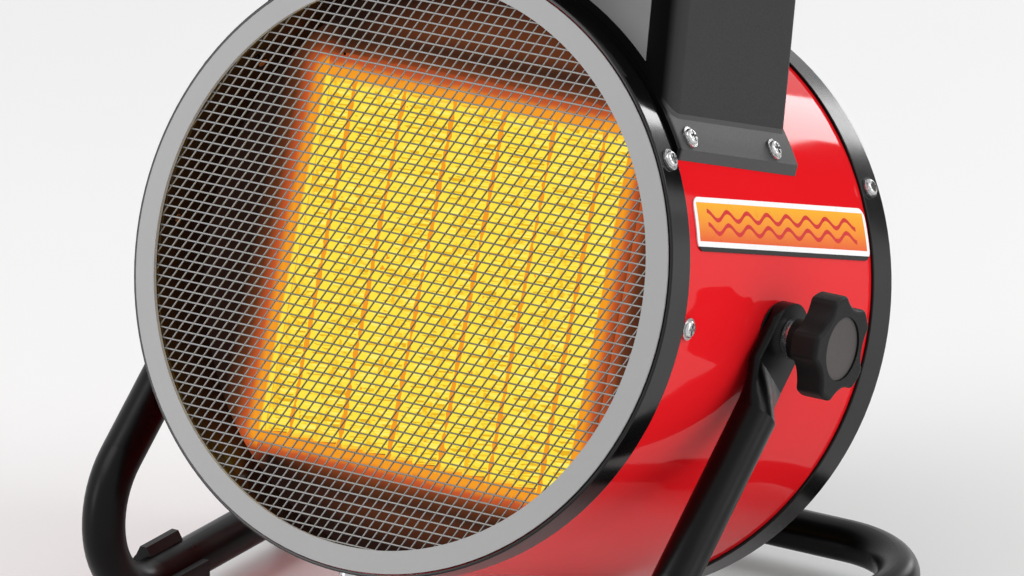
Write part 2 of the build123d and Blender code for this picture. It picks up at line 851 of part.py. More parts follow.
panel_back_setback = housing_front_setback + housing_wall + fit_gap
controls_setback = panel_back_setback + panel_ledge_thickness + fit_gap


def control_panel():
    """Panel pushed in from behind until its ledge meets the housing's front wall."""
    panel = prism_y(panel_outline(-panel_gap), housing_front_setback, panel_back_setback)
    ledge_end = panel_back_setback + panel_ledge_thickness
    panel += prism_y(panel_outline(panel_ledge), panel_back_setback, ledge_end)
    for x in (-control_spread / 2, control_spread / 2):
        hole = Pos(x, control_height) * Circle(bush_diameter / 2 + fit_gap)
        panel -= prism_y(hole, housing_front_setback, controls_setback)
    return panel


def control_body(x, sketch, depth):
    """Switch body behind the panel, with its bush through the panel's hole."""
    body = prism_y(Pos(x, control_height) * sketch, controls_setback, controls_setback + depth)
    bush = Pos(x, control_height) * Circle(bush_diameter / 2)
    body += prism_y(bush, housing_front_setback, controls_setback)
    bore = Pos(x, control_height) * Circle(control_shaft_diameter / 2 + run_gap)
    return body - prism_y(bore, housing_front_setback, controls_setback + control_shaft_engagement + run_gap)


def thermostat_body():
    return control_body(-control_spread / 2, Rectangle(thermostat_width, thermostat_height), thermostat_depth)


def selector_body():
    return control_body(control_spread / 2, Circle(switch_diameter / 2), switch_depth)


knob_base_setback = housing_front_setback - run_gap
knob_face_setback = knob_base_setback - knob_length


def control_shaft(x):
    """Shaft from inside the switch body to inside the knob."""
    sketch = Pos(x, control_height) * Circle(control_shaft_diameter / 2)
    tip_setback = knob_face_setback + knob_wall + fit_gap
    return prism_y(sketch, tip_setback, controls_setback + control_shaft_engagement)


def control_knob(x):
    """Round knob with a skirt and a raised pointer."""
    knob = prism_y(Circle(knob_diameter / 2), knob_face_setback, knob_base_setback)
    knob = fillet(knob.edges().filter_by(GeomType.CIRCLE).group_by(Axis.Y)[0], knob_round)
    knob += prism_y(Circle(knob_skirt_diameter / 2), knob_base_setback - knob_skirt_length, knob_base_setback)
    pointer = Pos(0, knob_diameter / 4) * Rectangle(knob_pointer_width, knob_diameter / 2 - 2 * knob_round)
    knob += prism_y(pointer, knob_face_setback - knob_pointer_height, knob_face_setback + knob_round)
    bore = Circle(control_shaft_diameter / 2 + fit_gap / 2)
    knob -= prism_y(bore, knob_face_setback + knob_wall, knob_base_setback)
    return Pos(x, 0, control_height) * knob


def cable_gland():
    """Gland through the rear wall where the mains lead enters."""
    wall_inside = housing_rear_setback - housing_wall
    flange_start = housing_rear_setback + fit_gap
    gland = prism_y(Circle(gland_flange_diameter / 2), flange_start, flange_start + gland_flange_length)
    nut_start = wall_inside - fit_gap - gland_nut_length
    gland += prism_y(Circle(gland_body_diameter / 2), nut_start, flange_start)
    gland -= prism_y(Circle(gland_bore_diameter / 2), nut_start, flange_start + gland_flange_length)
    return Pos(gland_x, 0, gland_height) * gland


def gland_nut():
    nut_end = housing_rear_setback - housing_wall - fit_gap
    sketch = RegularPolygon(gland_flange_diameter / 2, 6) - Circle(gland_body_diameter / 2 + fit_gap)
    return Pos(gland_x, 0, gland_height) * prism_y(sketch, nut_end - gland_nut_length, nut_end)


block_setback = housing_rear_setback - housing_wall - fit_gap - block_depth


def terminal_block():
    """Screw terminal strip on the inside of the housing's rear wall."""
    block = Pos(block_x, gland_height) * Rectangle(block_width, block_height)
    block = prism_y(block, block_setback, block_setback + block_depth)
    way = block_width / block_way_count
    for place in range(block_way_count):
        x = block_x + (place + 0.5) * way - block_width / 2
        well = Cylinder(way / 4, block_depth / 2)
        block -= Pos(x, along(block_setback + block_depth / 2), gland_height + block_height / 2) * well
    return block


def carry_handle():
    """Bent bar with rounded section standing on the housing's top."""
    foot = housing_top_height + fit_gap
    level = foot + handle_gap_height + handle_bar_height / 2
    half = handle_span / 2
    y = along(housing_middle_setback)
    points = [(-half, y, foot), (-half, y, level), (half, y, level), (half, y, foot)]
    path = FilletPolyline(*points, radius=handle_bend_radius)
    section = RectangleRounded(handle_bar_height, handle_bar_depth, handle_section_round)
    bar = sweep(Pos(-half, y, foot) * section, path=path)
    for x in (-half, half):
        hole = Cylinder(screw_shank_diameter / 2 + fit_gap, handle_screw_length, align=FROM_BASE)
        bar -= Pos(x, y, foot) * hole
    return bar


def handle_screws():
    """Screws up into the handle's feet from inside the housing."""
    screws = []
    for x in (-handle_span / 2, handle_span / 2):
        seat = housing_top_height - housing_wall - fit_gap
        place = Pos(x, along(housing_middle_setback), seat) * Rot(X=180)
        screws.append(place * pan_screw(handle_screw_length))
    return Compound(screws)


def lead_grommet():
    """Bush that lines the hole for the leads at the drum's top."""
    bore = grommet_bore_diameter / 2
    sleeve = grommet_hole_diameter / 2 - fit_gap
    flange = grommet_flange_diameter / 2
    drop = drum_sheet + 2 * grommet_flange_thickness
    top = drum_radius + grommet_flange_thickness + fit_gap
    body = Cylinder(sleeve, drop, align=FROM_BASE)
    rim = Cylinder(flange, grommet_flange_thickness, align=FROM_BASE)
    body += Pos(0, 0, drop - grommet_flange_thickness) * rim
    body -= Cylinder(bore, drop, align=FROM_BASE)
    return Pos(0, along(grommet_setback), top - drop) * body


def lead_wire(points):
    """Round insulated wire along straight runs, its bends no wider than the shortest run has room for."""
    shortest = min((Vector(end) - Vector(start)).length for start, end in zip(points, points[1:]))
    path = FilletPolyline(*points, radius=min(lead_bend_radius, lead_bend_share * shortest))
    start = Plane(origin=path @ 0, z_dir=path % 0)
    return sweep(start * Circle(lead_diameter / 2), path=path)


lead_start_y = along(block_setback - fit_gap)
lead_level = (collar_radius + shroud_sheet + lining_radius) / 2


def element_leads():
    """Two wires from the terminal block down to the outermost terminals of the element."""
    hole_y = along(grommet_setback)
    tab_height = element_top + fit_gap + rail_height / 2 + rail_socket_depth / 2
    tab_y = along(element_end_setback + terminal_length + lead_diameter / 2 + fit_gap)
    low = tab_height + lead_element_run
    start_height = gland_height + lead_level_step
    wires = []
    for side in (-1, 1):
        x = side * lead_spread
        tab_x = side * strip_centres()[-1]
        wires.append(lead_wire([
            (x, lead_start_y, start_height),
            (x, hole_y, start_height),
            (x, hole_y, low),
            (tab_x, tab_y, low),
            (tab_x, tab_y, tab_height - terminal_width / 2),
        ]))
    return Compound(wires)


def motor_leads():
    """Two wires from the terminal block, through the shroud's notch, to the motor."""
    hole_y = along(grommet_setback + lead_pair_offset)
    motor_y = along(lead_motor_setback)
    start_height = gland_height - lead_level_step
    wires = []
    for side in (-1, 1):
        x = side * lead_spread
        wires.append(lead_wire([
            (x, lead_start_y, start_height),
            (x, hole_y, start_height),
            (x, hole_y, lead_level),
            (x, motor_y, lead_level),
            (x, motor_y, motor_diameter / 2),
        ]))
    return Compound(wires)


def label_plate():
    """Thin curved plate on the right side, with rounded corners, up to the rear band."""
    label_length = rear_band_setback - label_rear_margin - label_front_setback
    inner = drum_radius + fit_gap
    sheet_end = label_front_setback + label_length + cut_margin
    sheet = ring_y(inner, inner + label_sheet, label_front_setback - cut_margin, sheet_end)
    window = extrude(RectangleRounded(label_height, label_length, label_corner_radius), amount=drum_radius)
    middle = label_front_setback + label_length / 2
    return sheet & (radial(label_angle, drum_radius / 2, middle) * Rot(Z=label_turn_degrees) * window)


# Stand
def leg_point(distance, x=leg_x):
    """Point on the right leg's centre line, measured down from the tilt axis."""
    return (x, axis_y - distance * leg_sin, axis_height - distance * leg_cos)


def leg_plane(distance, x=leg_x):
    """Plane square to the leg, X across the leg and Y out to the side."""
    return Plane(origin=leg_point(distance, x), x_dir=(0, leg_cos, -leg_sin), z_dir=(0, -leg_sin, -leg_cos))


def pressed_section(width, thickness, corner_x, corner_y):
    """Closed outline of four arcs, from a full circle to a pressed oval."""
    right, top = width / 2, thickness / 2
    arcs = Curve() + [
        ThreePointArc((corner_x, -corner_y), (right, 0), (corner_x, corner_y)),
        ThreePointArc((corner_x, corner_y), (0, top), (-corner_x, corner_y)),
        ThreePointArc((-corner_x, corner_y), (-right, 0), (-corner_x, -corner_y)),
        ThreePointArc((-corner_x, -corner_y), (0, -top), (corner_x, -corner_y)),
    ]
    return make_face(arcs)


def pressed_end():
    """Right tube end: a flat with a round tip and a hole, swelling into the round tube."""
    flat_x = flat_inner_x + flat_thickness / 2
    flat = pressed_section(
        flat_width, flat_thickness, flat_width / 2 - flat_side_round, flat_thickness / 2 - flat_crown)
    corner = tube_radius * math.sqrt(0.5)
    full = pressed_section(tube_diameter, tube_diameter, corner, corner)
    blade = extrude(leg_plane(-flat_width / 2, flat_x) * flat, amount=flat_width / 2 + flat_end)
    tip_end = flat_inner_x + 2 * flat_thickness
    tip = rod_x(flat_width / 2, flat_inner_x - flat_thickness, tip_end, axis_y, axis_height)
    lower = extrude(leg_plane(0, flat_x) * flat, amount=flat_end)
    end = (blade & tip) + lower
    end += loft([leg_plane(flat_end, flat_x) * flat, leg_plane(round_start) * full])
    bore = rod_x(stud_hole_radius, flat_inner_x - flat_thickness, leg_x + tube_radius, axis_y, axis_height)
    return end - bore


def tube_path():
    """Centre line of the whole tube between the two pressed ends."""
    bend_top = leg_point(leg_length)
    turn = math.radians((90 + leg_degrees) / 2)
    bend_middle = (
        leg_x,
        bend_center_y - bend_radius * math.sin(turn),
        runner_height + bend_radius - bend_radius * math.cos(turn),
    )
    bend_end = (leg_x, bend_center_y, runner_height)
    runner_end = (leg_x, cross_bar_y - corner_radius, runner_height)
    slant = corner_radius * (1 - math.sqrt(0.5))
    corner_middle = (leg_x - slant, cross_bar_y - slant, runner_height)
    bar_start = (leg_x - corner_radius, cross_bar_y, runner_height)

    def left(point):
        return (-point[0], point[1], point[2])

    return Curve() + [
        Line(leg_point(round_start), bend_top),
        ThreePointArc(bend_top, bend_middle, bend_end),
        Line(bend_end, runner_end),
        ThreePointArc(runner_end, corner_middle, bar_start),
        Line(bar_start, left(bar_start)),
        ThreePointArc(left(bar_start), left(corner_middle), left(runner_end)),
        Line(left(runner_end), left(bend_end)),
        ThreePointArc(left(bend_end), left(bend_middle), left(bend_top)),
        Line(left(bend_top), left(leg_point(round_start))),
    ]


def stand_tube():
    section = Circle(tube_radius) - Circle(tube_radius - tube_wall)
    tube = sweep(leg_plane(round_start) * section, path=tube_path())
    for end in both_sides(pressed_end()):
        tube += end
    return tube


def foot_outline():
    """Section of a right foot about the tube's centre: pad, grip, tall outer lip, low inner lip."""
    grip = tube_radius + foot_grip_gap
    outside = grip + foot_wall
    pad = Pos(0, -runner_height / 2) * Rectangle(2 * outside, runner_height)
    arms = Circle(outside) & Pos(0, outside / 2) * Rectangle(2 * outside, outside)
    root = math.sqrt(grip ** 2 - foot_mouth_half_width ** 2)
    lip_x = foot_mouth_half_width + foot_lip_flare
    mouth = make_face(Polyline([
        (-2 * outside, foot_inner_lip_height),
        (0, foot_inner_lip_height),
        (foot_mouth_half_width, root),
        (lip_x, foot_lip_height),
        (lip_x, 2 * outside),
        (-2 * outside, 2 * outside),
    ], close=True))
    lip = make_face(Polyline([
        (foot_mouth_half_width, root),
        (lip_x, foot_lip_height),
        (lip_x + foot_wall, foot_lip_height),
        (outside - foot_wall / 2, root / 2),
    ], close=True))
    return (pad + arms + lip) - Circle(grip) - mouth


def stand_feet():
    """Four snap-on feet: behind each front bend and ahead of each rear corner."""
    front_start = bend_center_y + foot_bend_gap
    rear_start = cross_bar_y - corner_radius - rear_foot_inset - foot_length
    feet = []
    for start in (front_start, rear_start):
        foot = extrude(Plane.XZ * foot_outline(), amount=foot_length)
        feet += both_sides(Pos(leg_x, start + foot_length, runner_height) * foot)
    return Compound(feet)


# Tilt clamps, drawn on the right in the drum's frame and mirrored to the left
washers_inner_x = flat_inner_x + flat_thickness + fit_gap
washers_outer_x = washers_inner_x + washer_count * (washer_thickness + fit_gap)
star_inner_x = washers_outer_x + star_boss_length
star_outer_x = star_inner_x + star_thickness
stud_clear_x = collar_radius + shroud_sheet + stud_shroud_gap
stud_inner_x = max(drum_inner_radius - weld_nut_length - stud_tail, stud_clear_x)


def pivot_spacers():
    """Thin friction rings between the drum and the tube's pressed ends."""
    outer = flat_inner_x - fit_gap
    ring = rod_x(spacer_diameter / 2, outer - spacer_thickness, outer)
    ring -= rod_x(stud_hole_radius, outer - spacer_thickness, outer)
    return Compound(both_sides(ring))


def pivot_nuts():
    """Threaded bosses inside the drum's wall that take the clamp studs."""
    start = drum_inner_radius - weld_nut_length
    nut = rod_x(weld_nut_diameter / 2, start, drum_inner_radius + drum_sheet)
    nut &= prism_y(Circle(drum_inner_radius - fit_gap), 0, drum_rear_setback)
    nut -= rod_x(stud_hole_radius, start, drum_inner_radius + drum_sheet)
    return Compound(both_sides(nut))


def clamp_washers():
    rings = []
    for place in range(washer_count):
        start = washers_inner_x + place * (washer_thickness + fit_gap)
        ring = rod_x(washer_diameter / 2, start, start + washer_thickness)
        rings.append(ring - rod_x(stud_hole_radius, start, start + washer_thickness))
    return rings


def clamp_stud():
    return rod_x(stud_diameter / 2, stud_inner_x, star_inner_x + stud_knob_depth)


def star_knob():
    """Five-lobed hand knob, one lobe straight up, with a boss behind and a shallow seat for its cap."""
    outline = Circle(star_diameter / 2)
    for place in range(star_lobe_count):
        flute = Pos(star_valley_diameter / 2 + star_flute_radius, 0) * Circle(star_flute_radius)
        outline -= Rot(Z=360 / star_lobe_count * (place + 0.5)) * flute
    outline = fillet(outline.vertices(), star_lobe_round)
    body = extrude(outline, amount=star_thickness)
    body = fillet(body.edges().group_by(Axis.Z)[-1], star_edge_round)
    body -= Pos(0, 0, star_thickness - cap_recess - cap_thickness) * Cylinder(
        cap_diameter / 2 + fit_gap, cap_recess + cap_thickness, align=FROM_BASE)
    knob = Pos(star_inner_x, 0, 0) * Rot(Y=90) * Rot(Z=180 + tilt_degrees) * body
    knob += rod_x(star_boss_diameter / 2, washers_outer_x, star_inner_x)
    bore_end = star_inner_x + stud_knob_depth + fit_gap
    return knob - rod_x(stud_diameter / 2 + fit_gap / 2, washers_outer_x, bore_end)


def knob_cap():
    outer = star_outer_x - cap_recess
    return rod_x(cap_diameter / 2, outer - cap_thickness + fit_gap, outer)


control_x = control_spread / 2

drum_pieces = {
    "drum_shell": drum_shell(),
    "front_band": front_band(),
    "rear_band": rear_band(),
    "bezel_ring": bezel_ring(),
    "mesh_level_wires": mesh_level_wires(),
    "mesh_slanted_wires": mesh_slanted_wires(),
    "mesh_clamp_ring": mesh_clamp_ring(),
    "front_band_screws": screw_ring(band_screw_angles, band_radius, front_screw_setback),
    "rear_band_screws": screw_ring(band_screw_angles, band_radius, rear_screw_setback),
    "drum_side_screws": screw_ring(side_screw_angles, drum_radius, side_screw_setback),
    "ptc_strips": ptc_strips(),
    "fin_plates": fin_plates(),
    "heater_fins": heater_fins(),
    "upper_element_rail": element_rail(1),
    "lower_element_rail": element_rail(-1),
    "element_terminals": Compound(terminal_sockets(0)),
    "element_screws": element_screws(),
    "baffle_plate": baffle_plate(),
    "thermal_cutout": thermal_cutout(),
    "fan_impeller": fan_impeller(),
    "motor_shaft": motor_shaft(),
    "motor_bearings": motor_bearings(),
    "fan_motor": fan_motor(),
    "motor_bracket": motor_bracket(),
    "bracket_screws": bracket_screws(),
    "fan_shroud": fan_shroud(),
    "rear_grille": rear_grille(),
    "control_housing": control_housing(),
    "flange_screws": flange_screws(),
    "control_panel": control_panel(),
    "thermostat_body": thermostat_body(),
    "thermostat_shaft": control_shaft(-control_x),
    "thermostat_knob": control_knob(-control_x),
    "selector_body": selector_body(),
    "selector_shaft": control_shaft(control_x),
    "selector_knob": control_knob(control_x),
    "cable_gland": cable_gland(),
    "gland_nut": gland_nut(),
    "terminal_block": terminal_block(),
    "carry_handle": carry_handle(),
    "handle_screws": handle_screws(),
    "lead_grommet": lead_grommet(),
    "element_leads": element_leads(),
    "motor_leads": motor_leads(),
    "label_plate": label_plate(),
    "pivot_spacers": pivot_spacers(),
    "pivot_nuts": pivot_nuts(),
    "right_clamp_washers": Compound(clamp_washers()),
    "right_clamp_stud": clamp_stud(),
    "right_star_knob": star_knob(),
    "right_knob_cap": knob_cap(),
    "left_clamp_washers": Compound([on_left(washer) for washer in clamp_washers()]),
    "left_clamp_stud": on_left(clamp_stud()),
    "left_star_knob": on_left(star_knob()),
    "left_knob_cap": on_left(knob_cap()),
}

stand_pieces = {
    "stand_tube": stand_tube(),
    "stand_feet": stand_feet(),
}

os.makedirs("parts", exist_ok=True)
for name, shape in drum_pieces.items():
    export_step(drum_place * shape, f"parts/{name}.step")
for name, shape in stand_pieces.items():
    export_step(shape, f"parts/{name}.step")

print("tilt axis at Y %.3f, Z %.3f" % (axis_y, axis_height))
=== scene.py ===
import bpy
import bmesh
import json
import math
from mathutils import Matrix, Vector


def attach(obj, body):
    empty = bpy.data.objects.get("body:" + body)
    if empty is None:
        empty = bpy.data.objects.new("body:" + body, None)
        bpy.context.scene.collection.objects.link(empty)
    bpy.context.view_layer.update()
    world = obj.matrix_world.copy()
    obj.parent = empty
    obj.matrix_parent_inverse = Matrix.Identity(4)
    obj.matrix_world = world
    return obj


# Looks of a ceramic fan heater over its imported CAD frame. Metres, +Z up, the mesh front faces -Y.
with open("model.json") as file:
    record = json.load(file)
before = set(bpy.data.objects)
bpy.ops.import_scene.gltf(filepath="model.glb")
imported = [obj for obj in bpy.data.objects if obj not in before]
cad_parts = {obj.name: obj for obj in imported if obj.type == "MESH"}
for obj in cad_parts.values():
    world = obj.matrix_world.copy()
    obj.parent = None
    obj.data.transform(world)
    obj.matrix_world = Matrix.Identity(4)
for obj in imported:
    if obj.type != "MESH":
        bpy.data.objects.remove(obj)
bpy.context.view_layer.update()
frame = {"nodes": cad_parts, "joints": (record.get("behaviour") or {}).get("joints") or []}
nodes = frame["nodes"]
joints = {joint["name"]: joint for joint in frame["joints"]}

# The drum's own frame: origin on the tilt axis, RIGHT along that axis, BACK along the drum, UP square to both
AXIS = Vector(joints["drum_tilt"]["pos_m"])
RIGHT = Vector((1.0, 0.0, 0.0))
BACK = Vector(joints["fan_spin"]["axis"]).normalized()
UP = RIGHT.cross(BACK)

# Places in the drum's frame, for materials and scale marks; a setback is a distance behind the bezel's face
AXIS_SETBACK = 0.083
BEZEL_BACK = 0.0008
DRUM_SKIN_RADIUS = 0.1101
FLANGE_TOP_RADIUS = 0.1140
PANEL_FACE = 0.015
KNOB_FACE = -0.0023
POINTER_RISE = 0.0006
CONTROL_X = 0.038
CONTROL_HEIGHT = 0.134

# Ceramic element
ELEMENT_HALF_WIDTH = 0.064
ELEMENT_HALF_HEIGHT = 0.0655
ELEMENT_DROP = 0.0053
ELEMENT_FRONT = 0.0365
STRIP_COUNT = 6
STRIP_PITCH = 2 * ELEMENT_HALF_WIDTH / STRIP_COUNT

# Label plate, and the waves printed on it
LABEL_ANGLE = math.radians(19.75)
LABEL_TURN = math.radians(1.8)
LABEL_RADIUS = 0.1105
LABEL_FRONT = 0.0204
LABEL_REAR = 0.1507
LABEL_HALF_HEIGHT = 0.0097
LABEL_SHADOW = 0.0016
LABEL_BORDER = 0.0019
LABEL_FADE = 0.0075
WAVE_RADIANS_PER_METRE = 420.0
WAVE_SWING = 0.0016
WAVE_ROW_HEIGHT = 0.0024
WAVE_HALF_STROKE = 0.0008
WAVE_END_MARGIN = 0.009

# Scale marks round the control knobs
TICK_COUNT = 11
TICK_SWEEP = math.radians(270.0)
TICK_START = math.radians(225.0)
TICK_INNER_RADIUS = 0.0212
TICK_LENGTH = 0.0032
LONG_TICK_LENGTH = 0.0050
LONG_TICK_EVERY = 5
TICK_WIDTH = 0.0011
TICK_THICKNESS = 0.00024

# Camera
IMAGE_WIDTH = 1024
FOCAL_PIXELS = 9355.0
SENSOR_WIDTH = 36.0
CAMERA_FROM_AXIS = Vector((1.7059, -2.7070, 1.1615))
CAMERA_AZIMUTH = math.radians(32.23)
CAMERA_ELEVATION = math.radians(20.01)
CAMERA_REACH = 50.0

# Stage
FLOOR_HALF_SIZE = 6.0
WORLD_LIGHT = 0.58
BACKDROP_LEVEL = 248

# The share of a noise texture's range that its values mostly fill
NOISE_LOW = 0.3
NOISE_HIGH = 0.7


def linear(red, green, blue):
    """Linear colour of a display colour given from 0 to 255."""
    def channel(value):
        share = value / 255
        if share <= 0.04045:
            return share / 12.92
        return ((share + 0.055) / 1.055) ** 2.4
    return (channel(red), channel(green), channel(blue), 1.0)


def grey(level):
    return linear(level, level, level)


def shade(colour, share):
    """The same colour, darker or lighter by a share."""
    return (colour[0] * share, colour[1] * share, colour[2] * share, 1.0)


def drum_point(x, setback, height):
    """World place of a point given across, behind the bezel's face and above the drum's axis."""
    return AXIS + RIGHT * x + BACK * (setback - AXIS_SETBACK) + UP * height


class Look:
    """One material, with short calls for the nodes that it is wired from."""

    def __init__(self, name):
        self.material = bpy.data.materials.new(name)
        self.material.use_nodes = True
        self.tree = self.material.node_tree
        self.tree.nodes.clear()
        output = self.node("ShaderNodeOutputMaterial")
        self.shader = self.node("ShaderNodeBsdfPrincipled")
        self.join(self.shader.outputs["BSDF"], output.inputs["Surface"])
        self.place = self.node("ShaderNodeTexCoord").outputs["Object"]

    def node(self, kind, **settings):
        made = self.tree.nodes.new(kind)
        for key, value in settings.items():
            setattr(made, key, value)
        return made

    def join(self, source, target):
        self.tree.links.new(source, target)

    def feed(self, socket, value):
        """Links an output to a socket, or sets the socket to a constant."""
        if isinstance(value, bpy.types.NodeSocket):
            self.join(value, socket)
        else:
            socket.default_value = value

    def set(self, **values):
        """Sets the shader's inputs by name, with underscores for spaces."""
        for key, value in values.items():
            self.feed(self.shader.inputs[key.replace("_", " ")], value)
        return self

    def tone(self):
        """Output that the shader's colour comes from."""
        return self.shader.inputs["Base Color"].links[0].from_socket

    def math(self, operation, first, second=0.0):
        made = self.node("ShaderNodeMath", operation=operation)
        self.feed(made.inputs[0], first)
        self.feed(made.inputs[1], second)
        return made.outputs[0]

    def absolute(self, value):
        """A value without its sign."""
        return self.math("ABSOLUTE", value)

    def hypotenuse(self, first, second):
        """Length of the slope over two sides that are square to each other."""
        first_square = self.math("MULTIPLY", first, first)
        second_square = self.math("MULTIPLY", second, second)
        return self.math("SQRT", self.math("ADD", first_square, second_square))

    def measure(self, direction, origin):
        """Distance of the shaded point from an origin, along a direction."""
        made = self.node("ShaderNodeVectorMath", operation="DOT_PRODUCT")
        self.join(self.place, made.inputs[0])
        made.inputs[1].default_value = direction
        return self.math("SUBTRACT", made.outputs["Value"], Vector(direction).dot(origin))

    def across(self, shift=0.0):
        """How far the shaded point lies to the right of the drum's axis, or of a line beside it."""
        return self.measure(RIGHT, AXIS + RIGHT * shift)

    def height(self):
        """How far the shaded point lies above the drum's axis."""
        return self.measure(UP, AXIS)

    def depth(self, setback):
        """How far the shaded point lies behind a plane across the drum."""
        return self.measure(BACK, drum_point(0.0, setback, 0.0))

    def radius(self):
        """Distance of the shaded point from the drum's axis."""
        return self.hypotenuse(self.across(), self.height())

    def noise(self, scale, detail=3.0, stretch=None):
        made = self.node("ShaderNodeTexNoise")
        made.inputs["Scale"].default_value = scale
        made.inputs["Detail"].default_value = detail
        if stretch is None:
            self.join(self.place, made.inputs["Vector"])
        else:
            mapping = self.node("ShaderNodeMapping")
            mapping.inputs["Scale"].default_value = stretch
            self.join(self.place, mapping.inputs["Vector"])
            self.join(mapping.outputs["Vector"], made.inputs["Vector"])
        return made.outputs["Fac"]

    def flat_noise(self, across_scale, height_scale, detail=1.0):
        """Noise over the drum's cross-section, the same at every depth."""
        spot = self.node("ShaderNodeCombineXYZ")
        self.join(self.math("MULTIPLY", self.across(), across_scale), spot.inputs["X"])
        self.join(self.math("MULTIPLY", self.height(), height_scale), spot.inputs["Y"])
        made = self.node("ShaderNodeTexNoise")
        made.inputs["Scale"].default_value = 1.0
        made.inputs["Detail"].default_value = detail
        self.join(spot.outputs["Vector"], made.inputs["Vector"])
        return made.outputs["Fac"]

    def ramp(self, source, stops):
        """Colour ramp through (position, colour) stops."""
        made = self.node("ShaderNodeValToRGB")
        elements = made.color_ramp.elements
        while len(elements) < len(stops):
            elements.new(0.5)
        for element, (position, colour) in zip(elements, stops):
            element.position = position
            element.color = colour
        self.join(source, made.inputs["Fac"])
        return made.outputs["Color"]

    def spread(self, source, low, high, to_low=0.0, to_high=1.0):
        """Maps a range of values to another, held at its ends."""
        made = self.node("ShaderNodeMapRange")
        self.join(source, made.inputs["Value"])
        made.inputs["From Min"].default_value = low
        made.inputs["From Max"].default_value = high
        made.inputs["To Min"].default_value = to_low
        made.inputs["To Max"].default_value = to_high
        return made.outputs["Result"]

    def mottle(self, noise, low, high):
        """Colour that a noise moves between two tones."""
        return self.ramp(noise, [(NOISE_LOW, low), (NOISE_HIGH, high)])

    def vary(self, noise, low, high):
        """Value that a noise moves between two limits."""
        return self.spread(noise, NOISE_LOW, NOISE_HIGH, low, high)

    def blend(self, share, first, second):
        """Mix of two colours."""
        made = self.node("ShaderNodeMix", data_type="RGBA")
        self.feed(made.inputs["Factor"], share)
        self.feed(made.inputs["A"], first)
        self.feed(made.inputs["B"], second)
        return made.outputs["Result"]

    def bump(self, height, distance):
        made = self.node("ShaderNodeBump")
        made.inputs["Distance"].default_value = distance
        made.inputs["Strength"].default_value = 1.0
        self.join(height, made.inputs["Height"])
        self.join(made.outputs["Normal"], self.shader.inputs["Normal"])
        return self

    def dress(self, *names):
        """Puts this material on CAD nodes."""
        for name in names:
            mesh = nodes[name].data
            mesh.materials.clear()
            mesh.materials.append(self.material)
        return self.material


# Painted metal
# Dark brown painted shade for the inside of the drum and the back of the bezel
INNER_SHADE_BROWN = linear(48, 36, 31)
INNER_SHADE_SPECULAR = 0.03


def enamel(name, colour, rough, specular, peel=0.000004, drift=0.06):
    """Stove enamel with a faint orange peel and a little drift in tone."""
    look = Look(name)
    tone = look.noise(scale=14.0, detail=2.0)
    look.set(Base_Color=look.mottle(tone, shade(colour, 1 - drift), shade(colour, 1 + drift)))
    look.set(Roughness=look.vary(look.noise(scale=60.0), rough * 0.85, rough * 1.25))
    look.set(Specular_IOR_Level=specular)
    return look.bump(look.noise(scale=420.0, detail=2.0), peel)


def paint_inner_shade(look, share, specular):
    """Paints shade in dark brown over an enamel where the share is one, and dulls its shine there."""
    look.set(Base_Color=look.blend(share, look.tone(), INNER_SHADE_BROWN))
    look.set(Specular_IOR_Level=look.spread(share, 0.0, 1.0, specular, INNER_SHADE_SPECULAR))
    return look


def drum_red():
    """Red outside, with painted shade making it dark brown inside."""
    specular = 0.12
    look = enamel("drum_red_enamel", linear(229, 28, 35), rough=0.05, specular=specular,
                  peel=0.000001, drift=0.02)
    inside = look.math("LESS_THAN", look.radius(), DRUM_SKIN_RADIUS)
    paint_inner_shade(look, inside, specular).dress("drum_shell")


def bezel_grey():
    """Grey face, with painted shade making it dark brown behind it."""
    specular = 0.2
    look = enamel("bezel_grey_enamel", grey(166), rough=0.45, specular=specular, drift=0.02)
    behind = look.math("GREATER_THAN", look.depth(0.0), BEZEL_BACK)
    paint_inner_shade(look, behind, specular).dress("bezel_ring")


def dark_enamels():
    """Black bands, stand and grille, and the dark grey motor case."""
    enamel("front_band_black_enamel", grey(12), rough=0.11, specular=0.3).dress("front_band")
    enamel("rear_band_black_enamel", grey(16), rough=0.22, specular=0.2).dress("rear_band")
    enamel("tube_black_enamel", grey(5), rough=0.3, specular=0.14).dress("stand_tube")
    enamel("grille_black_enamel", grey(30), rough=0.35, specular=0.4).dress("rear_grille")
    enamel("motor_case_enamel", grey(58), rough=0.45, specular=0.4).dress("fan_motor")


# Bare and plated metal
def plated(name, level, rough):
    """Bright plating with fine rub marks."""
    look = Look(name)
    rub = look.noise(scale=900.0, stretch=(1.0, 0.2, 1.0))
    look.set(Metallic=1.0)
    look.set(Base_Color=look.mottle(rub, grey(level * 0.93), grey(level)))
    look.set(Roughness=look.vary(rub, rough, rough * 1.8))
    return look.bump(look.noise(scale=1500.0, detail=2.0), 0.000001)


def plated_metals():
    """Chromed screws and washers, zinc-plated studs and shafts, and the pressed fan."""
    plated("screw_chrome_plate", 200, rough=0.16).dress(
        "front_band_screws", "rear_band_screws", "drum_side_screws", "flange_screws",
        "handle_screws", "bracket_screws", "right_clamp_washers", "left_clamp_washers")
    plated("stud_zinc_plate", 196, rough=0.28).dress(
        "motor_shaft", "thermostat_shaft", "selector_shaft", "right_clamp_stud", "left_clamp_stud",
        "pivot_nuts")
    plated("fan_pressed_sheet", 178, rough=0.34).dress("fan_impeller")


def terminal_brass():
    """Bare brass with a light tarnish."""
    look = Look("terminal_bare_brass")
    tone = look.noise(scale=300.0)
    look.set(Metallic=1.0, Roughness=look.vary(tone, 0.25, 0.4))
    look.set(Base_Color=look.mottle(tone, linear(190, 150, 80), linear(214, 178, 104)))
    look.dress("element_terminals", "motor_bearings")


